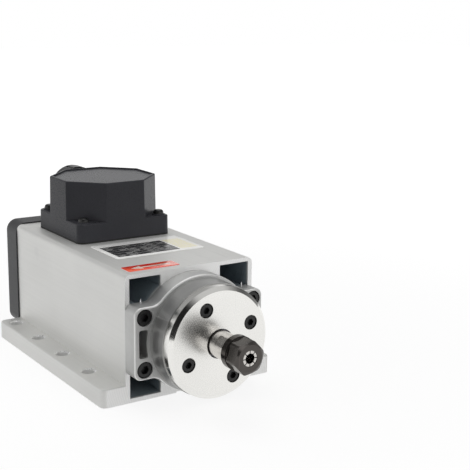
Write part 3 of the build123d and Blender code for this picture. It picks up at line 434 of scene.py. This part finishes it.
end_ring_finish, tree, shader, place = new_finish("cast_rotor_aluminium", 0.9, 0.48)
grain = shared(tree, grain_group, place, Pits=700.0, Clouds=80.0, Depth=0.12)
tree.links.new(toned(tree, (0.60, 0.60, 0.60), grain["Tone"]), shader.inputs["Base Color"])
bumped(tree, shader, grain["Height"], 0.25, 0.0004)
dress(["rotor_end_rings"], end_ring_finish)

# ---------------------------------------------------------------- bearings
# Two matched angular-contact bearings at the nose with spacers between them, clamped by a ring nut,
# and a single sprung one at the back. Rings and balls are bright hardened steel, the cages brown resin.
race_finish, tree, shader, place = new_finish("bearing_steel", 1.0, 0.12)
rings = shared(tree, rings_group, place, Pitch=4200.0, Contrast=0.06)
tree.links.new(toned(tree, (0.64, 0.64, 0.65), rings["Tone"]), shader.inputs["Base Color"])
tree.links.new(varied(tree, rings["Height"], 0.08, 0.16), shader.inputs["Roughness"])
bumped(tree, shader, rings["Height"], 0.04, 0.0002)
dress([
    "front_bearing_outer_rings", "front_bearing_inner_rings", "rear_bearing_outer_ring",
    "rear_bearing_inner_ring", "front_outer_spacer", "front_inner_spacer",
], race_finish)

ball_finish, tree, shader, place = new_finish("polished_balls", 1.0, 0.05)
film = node(tree, "TexNoise", {"Vector": place, "Scale": 400.0, "Detail": 2.0})
tree.links.new(varied(tree, film.outputs["Fac"], 0.03, 0.10), shader.inputs["Roughness"])
tree.links.new(toned(tree, (0.72, 0.72, 0.73), varied(tree, film.outputs["Fac"], 0.96, 1.02)),
               shader.inputs["Base Color"])
dress(["front_bearing_balls", "rear_bearing_balls"], ball_finish)

cage_finish, tree, shader, place = new_finish("cage_resin", 0.0, 0.45)
grain = shared(tree, grain_group, place, Clouds=200.0, Depth=0.12)
tree.links.new(toned(tree, (0.34, 0.22, 0.11), grain["Tone"]), shader.inputs["Base Color"])
bumped(tree, shader, grain["Height"], 0.2, 0.0002)
dress(["front_bearing_cages", "rear_bearing_cage"], cage_finish)

spring_finish, tree, shader, place = new_finish("blued_spring_steel", 1.0, 0.26)
film = node(tree, "TexNoise", {"Vector": place, "Scale": 160.0, "Detail": 3.0})
tint = spread(tree, film.outputs["Fac"], 0.35, 0.65)
tree.links.new(blended(tree, tint, (0.16, 0.17, 0.21), (0.24, 0.22, 0.22)), shader.inputs["Base Color"])
bumped(tree, shader, film.outputs["Fac"], 0.08, 0.0002)
dress(["preload_spring", "fan_clip", "bearing_locknut"], spring_finish)

# ---------------------------------------------------------------- front end shield
# A die-cast aluminium shield whose ears take the four fixing screws. The casting skin stays on the
# ears and the shoulder, a painted highlight runs along their front rim fillet, and the drum is turned
# on the lathe.
cast_colour = (0.42, 0.422, 0.416)
turned_colour = (0.44, 0.44, 0.433)
rim_highlight_colour = (0.72, 0.72, 0.70)
ear_front = housing_front - 0.0120

shield_finish, tree, shader, place = new_finish("cast_and_turned_aluminium", 0.6, 0.4)
parts = node(tree, "SeparateXYZ", {"Vector": place}).outputs
grain = shared(tree, grain_group, place, Pits=900.0, Clouds=60.0, Depth=0.16)
rings = shared(tree, rings_group, place, Pitch=1900.0, Contrast=0.16)
scuffs = shared(tree, scuff_group, place, Amount=0.9)
turned = spread(tree, parts["Y"], ear_front - 0.0003, ear_front + 0.0002, 1.0, 0.0)
# painted highlight: a thin band on the front rim fillet of the ears and shoulder is painted bright
rim = calc(tree, "MULTIPLY", spread(tree, parts["Y"], ear_front + 0.00005, ear_front + 0.0003),
           spread(tree, parts["Y"], ear_front + 0.0006, ear_front + 0.0010, 1.0, 0.0))
skin = toned(tree, blended(tree, rim, cast_colour, rim_highlight_colour), grain["Tone"])
bright = toned(tree, turned_colour, rings["Tone"])
colour = blended(tree, turned, skin, bright)
tree.links.new(blended(tree, scuffs["Mask"], colour, (0.68, 0.68, 0.67)), shader.inputs["Base Color"])
skin_rough = varied(tree, grain["Height"], 0.44, 0.56)
ring_rough = varied(tree, rings["Height"], 0.27, 0.36)
rough = node(tree, "Mix", {0: turned, 2: skin_rough, 3: ring_rough})
tree.links.new(rough.outputs[0], shader.inputs["Roughness"])
height = node(tree, "Mix", {0: turned, 2: grain["Height"], 3: rings["Height"]})
bumped(tree, shader, height.outputs[0], 0.12, 0.0003)
dress(["front_end_shield"], shield_finish)

# ---------------------------------------------------------------- front bearing cover
# A round plate faced on the lathe, which closes the front bearings and leaves a narrow gap round the
# shaft. Its face is matt from the facing tool and its front rim is a polished bevel.
disc_radius = 0.0355
bevel_width = 0.0024
faced_colour = (0.555, 0.55, 0.532)

cover_finish, tree, shader, place = new_finish("faced_aluminium", 1.0, 0.3)
reach = axis_distance(tree, place)[0]
rings = shared(tree, rings_group, place, Pitch=1500.0, Contrast=0.025)
grain = shared(tree, grain_group, place, Pits=1500.0, Clouds=26.0, Depth=0.035)
scuffs = shared(tree, scuff_group, place, Amount=0.35)
tone = calc(tree, "MULTIPLY", rings["Tone"], grain["Tone"])
colour = blended(tree, scuffs["Mask"], toned(tree, faced_colour, tone), (0.72, 0.71, 0.70))
tree.links.new(colour, shader.inputs["Base Color"])
rim = spread(tree, reach, disc_radius - bevel_width - 0.0002, disc_radius - bevel_width + 0.0001)
face_rough = varied(tree, grain["Height"], 0.26, 0.28)
rough = calc(tree, "SUBTRACT", face_rough, calc(tree, "MULTIPLY", rim, 0.12))
tree.links.new(rough, shader.inputs["Roughness"])
bumped(tree, shader, grain["Height"], 0.002, 0.0003)
dress(["front_flange_cover"], cover_finish)

# ---------------------------------------------------------------- screws of the nose
# Socket-head cap screws of high-tensile steel, blackened in hot oxide and lightly oiled. They hold the
# shield and its cover. The rear bracket, fan hood and terminal box have black screws of the same finish.
oxide_colour = (0.012, 0.012, 0.012)

oxide_finish, tree, shader, place = new_finish("black_oxide", 0.25, 0.3)
grain = shared(tree, grain_group, place, Pits=2600.0, Clouds=240.0, Depth=0.18)
scuffs = shared(tree, scuff_group, place, Amount=0.5)
colour = toned(tree, oxide_colour, grain["Tone"])
tree.links.new(blended(tree, scuffs["Mask"], colour, (0.09, 0.085, 0.08)), shader.inputs["Base Color"])
tree.links.new(varied(tree, grain["Height"], 0.24, 0.36), shader.inputs["Roughness"])
bumped(tree, shader, grain["Height"], 0.10, 0.0002)
dress(["end_shield_screws", "flange_cover_screws", "rear_bracket_screws", "box_screws"], oxide_finish)

# ---------------------------------------------------------------- collet and collet nut
# A slit spring-steel collet, ground outside and in its bore, is drawn into the taper by a hexagonal
# clamping nut with a round skirt. The nut is hot-blacked and polished, so it looks like dark glass.
collet_finish, tree, shader, place = new_finish("ground_collet_steel", 1.0, 0.2)
rings = shared(tree, rings_group, place, Pitch=3000.0, Contrast=0.10)
tree.links.new(toned(tree, (0.62, 0.60, 0.57), rings["Tone"]), shader.inputs["Base Color"])
tree.links.new(varied(tree, rings["Height"], 0.16, 0.26), shader.inputs["Roughness"])
bumped(tree, shader, rings["Height"], 0.05, 0.0002)
dress(["collet"], collet_finish)

nut_finish, tree, shader, place = new_finish("polished_black_nut", 0.75, 0.16)
rings = shared(tree, rings_group, place, Pitch=2400.0, Contrast=0.16)
grain = shared(tree, grain_group, place, Pits=1800.0, Clouds=120.0, Depth=0.12)
scuffs = shared(tree, scuff_group, place, Amount=0.6)
tone = calc(tree, "MULTIPLY", rings["Tone"], grain["Tone"])
colour = toned(tree, (0.058, 0.053, 0.049), tone)
tree.links.new(blended(tree, scuffs["Mask"], colour, (0.16, 0.14, 0.13)), shader.inputs["Base Color"])
tree.links.new(varied(tree, grain["Height"], 0.14, 0.21), shader.inputs["Roughness"])
bumped(tree, shader, rings["Height"], 0.05, 0.0002)
dress(["collet_nut"], nut_finish)

# ---------------------------------------------------------------- rear bracket, fan and hood
# A cast bracket carries the rear bearing. A moulded fan is clipped to the shaft behind it, under a
# square hood of dark moulded plastic held by four small screws.
bracket_finish, tree, shader, place = new_finish("bracket_casting", 0.85, 0.5)
grain = shared(tree, grain_group, place, Pits=900.0, Clouds=40.0, Depth=0.10)
tree.links.new(toned(tree, (0.40, 0.40, 0.40), grain["Tone"]), shader.inputs["Base Color"])
bumped(tree, shader, grain["Height"], 0.22, 0.0003)
dress(["rear_bearing_bracket"], bracket_finish)


def moulded(name, colour, grain_scale, depth, low, high, sheen):
    """A spark-eroded plastic skin, cloudy where it has been handled."""
    finish, tree, shader, place = new_finish(name, 0.0, (low + high) / 2)
    shader.inputs["Specular IOR Level"].default_value = sheen
    grain = shared(tree, grain_group, place, Pits=grain_scale, Clouds=45.0, Depth=depth)
    tree.links.new(toned(tree, colour, grain["Tone"]), shader.inputs["Base Color"])
    tree.links.new(varied(tree, grain["Height"], low, high), shader.inputs["Roughness"])
    bumped(tree, shader, grain["Height"], 0.08, 0.0003)
    return finish


dress(["cooling_fan"], moulded("fan_plastic", (0.035, 0.036, 0.038), 900.0, 0.12, 0.42, 0.55, 0.5))
dress(["fan_cover"], moulded("hood_plastic", (0.034, 0.035, 0.037), 1300.0, 0.10, 0.40, 0.52, 0.35))
dress(["fan_cover_screws"], oxide_finish)

# ---------------------------------------------------------------- terminal box
# A moulded black box with a raised lid, seated on a rubber gasket and held by four screws in its
# corners. Inside it a terminal block takes the leads of the winding.
box_finish = moulded("box_plastic", (0.040, 0.0405, 0.046), 1500.0, 0.08, 0.25, 0.33, 0.10)
dress(["terminal_box"], box_finish)
rubber_finish = moulded("gasket_rubber", (0.018, 0.018, 0.018), 700.0, 0.10, 0.62, 0.78, 0.35)
dress(["box_gasket", "gland_seal"], rubber_finish)
block_finish = moulded("block_resin", (0.42, 0.40, 0.36), 800.0, 0.08, 0.38, 0.5, 0.5)
dress(["terminal_block"], block_finish)

brass_finish, tree, shader, place = new_finish("terminal_brass", 1.0, 0.28)
grain = shared(tree, grain_group, place, Clouds=300.0, Depth=0.12)
tree.links.new(toned(tree, (0.72, 0.52, 0.24), grain["Tone"]), shader.inputs["Base Color"])
bumped(tree, shader, grain["Height"], 0.10, 0.0002)
dress(["terminal_screws"], brass_finish)

# ---------------------------------------------------------------- cable gland
# A moulded nylon gland on the back of the box: a hexagon body with its locknut inside the wall, a
# rubber seal, and a domed ribbed cap that squeezes the seal.
gland_finish = moulded("gland_nylon", (0.014, 0.014, 0.015), 1100.0, 0.10, 0.26, 0.36, 0.5)
dress(["gland_body", "gland_locknut", "gland_cap"], gland_finish)

# ---------------------------------------------------------------- rating plate
# A thin plastic-faced foil stuck to the housing top before the box: a pale frame, a dark panel ruled
# into a table with plain bars in most cells, and a plain cream field beside it. It carries no words.
plate_left, plate_right = -0.0314, 0.0340
plate_front, plate_back = -0.0570, -0.0180
plate_thick = 0.00025
plate_corner = 0.0012
housing_top = 0.082
panel_left, panel_right = -0.0285, 0.0175
panel_front, panel_back = -0.0540, -0.0255
plate_white = (0.88, 0.88, 0.86)
panel_black = (0.018, 0.018, 0.020)
field_cream = (0.86, 0.81, 0.60)
table_column, table_row = 0.0153, 0.00475
table_line, bar_gap = 0.00016, 0.00165
bars_left_out = 0.30


def sticker(name, left, right, front, back, bottom, thick, corner):
    """A thin label with rounded corners and a soft upper edge, lying flat."""
    bpy.ops.object.select_all(action="DESELECT")
    middle = ((left + right) / 2, (front + back) / 2, bottom + thick / 2)
    bpy.ops.mesh.primitive_cube_add(size=1, location=middle, scale=(right - left, back - front, thick))
    bpy.ops.object.transform_apply(location=True, rotation=True, scale=True)
    label = bpy.context.object
    label.name = name
    bpy.ops.object.mode_set(mode="EDIT")
    bpy.ops.mesh.select_all(action="DESELECT")
    bpy.ops.mesh.select_mode(type="EDGE")
    shape = bmesh.from_edit_mesh(label.data)
    for edge in shape.edges:
        edge.select_set(abs((edge.verts[0].co - edge.verts[1].co).z) > thick / 2)
    bmesh.update_edit_mesh(label.data)
    bpy.ops.mesh.bevel(offset=corner, segments=5)
    bpy.ops.mesh.select_all(action="DESELECT")
    bpy.ops.mesh.select_mode(type="FACE")
    shape = bmesh.from_edit_mesh(label.data)
    for face in shape.faces:
        face.select_set(face.normal.z > 0.9)
    bmesh.update_edit_mesh(label.data)
    bpy.ops.mesh.bevel(offset=thick * 0.45, segments=2)
    bpy.ops.object.mode_set(mode="OBJECT")
    bpy.ops.object.shade_smooth_by_angle(angle=radians(40))
    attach(label, "housing")
    return label


def between(tree, value, low, high, soft=0.00008):
    """1 where a value lies between two limits."""
    inside = spread(tree, value, low - soft, low + soft)
    return calc(tree, "MULTIPLY", inside, spread(tree, value, high - soft, high + soft, 1.0, 0.0))


rating_plate = sticker(
    "rating_plate", plate_left, plate_right, plate_front, plate_back,
    housing_top, plate_thick, plate_corner,
)
plate_finish, tree, shader, place = new_finish("printed_foil", 0.0, 0.3)
parts = node(tree, "SeparateXYZ", {"Vector": place}).outputs
panel = calc(tree, "MULTIPLY", between(tree, parts["X"], panel_left, panel_right),
             between(tree, parts["Y"], panel_front, panel_back))
table_place = node(tree, "Mapping", {
    "Vector": place, "Location": (-panel_left, -panel_front, 0.0),
}).outputs["Vector"]
rows = node(tree, "TexBrick", {
    "Vector": table_place, "Scale": 1.0, "Mortar Size": table_line, "Mortar Smooth": 0.2,
    "Brick Width": table_column, "Row Height": table_row,
}, offset=0.0)
bars = node(tree, "TexBrick", {
    "Vector": table_place, "Scale": 1.0, "Mortar Size": bar_gap, "Mortar Smooth": 0.1,
    "Brick Width": table_column / 2, "Row Height": table_row,
}, offset=0.0)
cell = node(tree, "VectorMath", {0: table_place, 1: (table_column / 2, table_row, 1.0)}, operation="SNAP")
filled = node(tree, "TexWhiteNoise", {"Vector": cell.outputs["Vector"]})
entry = calc(tree, "MULTIPLY", calc(tree, "SUBTRACT", 1.0, bars.outputs["Fac"]),
             calc(tree, "GREATER_THAN", filled.outputs["Value"], bars_left_out))
ruled = calc(tree, "MAXIMUM", rows.outputs["Fac"], calc(tree, "MULTIPLY", entry, 0.5))
field = calc(tree, "MULTIPLY", between(tree, parts["X"], panel_right + 0.0012, plate_right - 0.0022),
             between(tree, parts["Y"], panel_front + 0.0008, panel_back))
colour = blended(tree, field, plate_white, field_cream)
dark = blended(tree, calc(tree, "MULTIPLY", ruled, 0.75), panel_black, plate_white)
colour = blended(tree, panel, colour, dark)
grain = shared(tree, grain_group, place, Pits=900.0, Clouds=70.0, Depth=0.05)
scuffs = shared(tree, scuff_group, place, Amount=0.4)
colour = blended(tree, scuffs["Mask"], toned(tree, colour, grain["Tone"]), (0.5, 0.5, 0.49))
tree.links.new(colour, shader.inputs["Base Color"])
tree.links.new(varied(tree, grain["Height"], 0.24, 0.36), shader.inputs["Roughness"])
bumped(tree, shader, grain["Height"], 0.05, 0.0002)
rating_plate.data.materials.append(plate_finish)

# ---------------------------------------------------------------- turning mark
# A glossy orange-red strip stuck along the front edge of the housing top, with a long pale arrow for
# the way the spindle turns.
strip_left, strip_right = -0.0400, -0.0040
strip_front, strip_back = -0.0890, -0.0775
strip_red = (0.82, 0.030, 0.020)
strip_amber = (0.93, 0.12, 0.04)
arrow_pale = (0.95, 0.80, 0.72)
arrow_tip, arrow_neck, arrow_end = strip_left + 0.004, strip_left + 0.0115, strip_right - 0.004
arrow_half_width, arrow_head_half_width = 0.00095, 0.0034

turning_mark = sticker(
    "turning_mark", strip_left, strip_right, strip_front, strip_back,
    housing_top, plate_thick, plate_corner,
)
mark_finish, tree, shader, place = new_finish("printed_film", 0.0, 0.22)
shader.inputs["Coat Roughness"].default_value = 0.08
parts = node(tree, "SeparateXYZ", {"Vector": place}).outputs
strip_middle = (strip_front + strip_back) / 2
across = calc(tree, "ABSOLUTE", calc(tree, "SUBTRACT", parts["Y"], strip_middle))
shaft_part = calc(tree, "MULTIPLY", between(tree, parts["X"], arrow_neck - 0.0015, arrow_end),
                  spread(tree, across, arrow_half_width, arrow_half_width + 0.00015, 1.0, 0.0))
head_width = spread(tree, parts["X"], arrow_tip, arrow_neck, 0.0, arrow_head_half_width)
head_part = calc(tree, "MULTIPLY", between(tree, parts["X"], arrow_tip, arrow_neck),
                 calc(tree, "LESS_THAN", across, head_width))
arrow = calc(tree, "MAXIMUM", shaft_part, head_part)
fade = node(tree, "TexNoise", {"Vector": place, "Scale": 60.0, "Detail": 2.0})
red = blended(tree, spread(tree, fade.outputs["Fac"], 0.35, 0.65), strip_red, strip_amber)
colour = blended(tree, arrow, red, arrow_pale)
grain = shared(tree, grain_group, place, Pits=900.0, Clouds=90.0, Depth=0.05)
tree.links.new(toned(tree, colour, grain["Tone"]), shader.inputs["Base Color"])
tree.links.new(varied(tree, grain["Height"], 0.18, 0.28), shader.inputs["Roughness"])
tree.links.new(varied(tree, fade.outputs["Fac"], 0.3, 0.6), shader.inputs["Coat Weight"])
turning_mark.data.materials.append(mark_finish)

# ---------------------------------------------------------------- casting pips
# A short drop-shaped pip stands on the top edge of each ear, where an ejector left a nib on the
# casting. Each is bright from handling.
pip_x, pip_y = 0.0369, housing_front - 0.0022
pip_bottom, pip_top, pip_radius = 0.0634, 0.0669, 0.00062
pip_waist = 0.82

bpy.ops.object.select_all(action="DESELECT")
bpy.ops.mesh.primitive_uv_sphere_add(
    segments=20, ring_count=14, radius=pip_radius, location=(-pip_x, pip_y, pip_bottom + pip_radius),
)
bpy.ops.object.transform_apply(location=True, rotation=True, scale=True)
pip = bpy.context.object
pip.name = "casting_pip_left"
bpy.ops.object.mode_set(mode="EDIT")
bpy.ops.mesh.select_mode(type="VERT")
bpy.ops.mesh.select_all(action="DESELECT")
shape = bmesh.from_edit_mesh(pip.data)
for point in shape.verts:
    point.select_set(point.co.z > pip_bottom + pip_radius)
bmesh.update_edit_mesh(pip.data)
stretch = (pip_top - pip_bottom - pip_radius) / pip_radius
bpy.ops.transform.resize(
    value=(pip_waist, pip_waist, stretch), center_override=(-pip_x, pip_y, pip_bottom + pip_radius),
)
bpy.ops.object.mode_set(mode="OBJECT")
bpy.ops.object.shade_smooth()
pip.data.materials.append(ball_finish)
other_pip = pip.copy()
other_pip.data = pip.data.copy()
other_pip.name = "casting_pip_right"
bpy.context.scene.collection.objects.link(other_pip)
other_pip.data.transform(Matrix.Translation((2 * pip_x, 0, 0)))
for nib in (pip, other_pip):
    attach(nib, "housing")
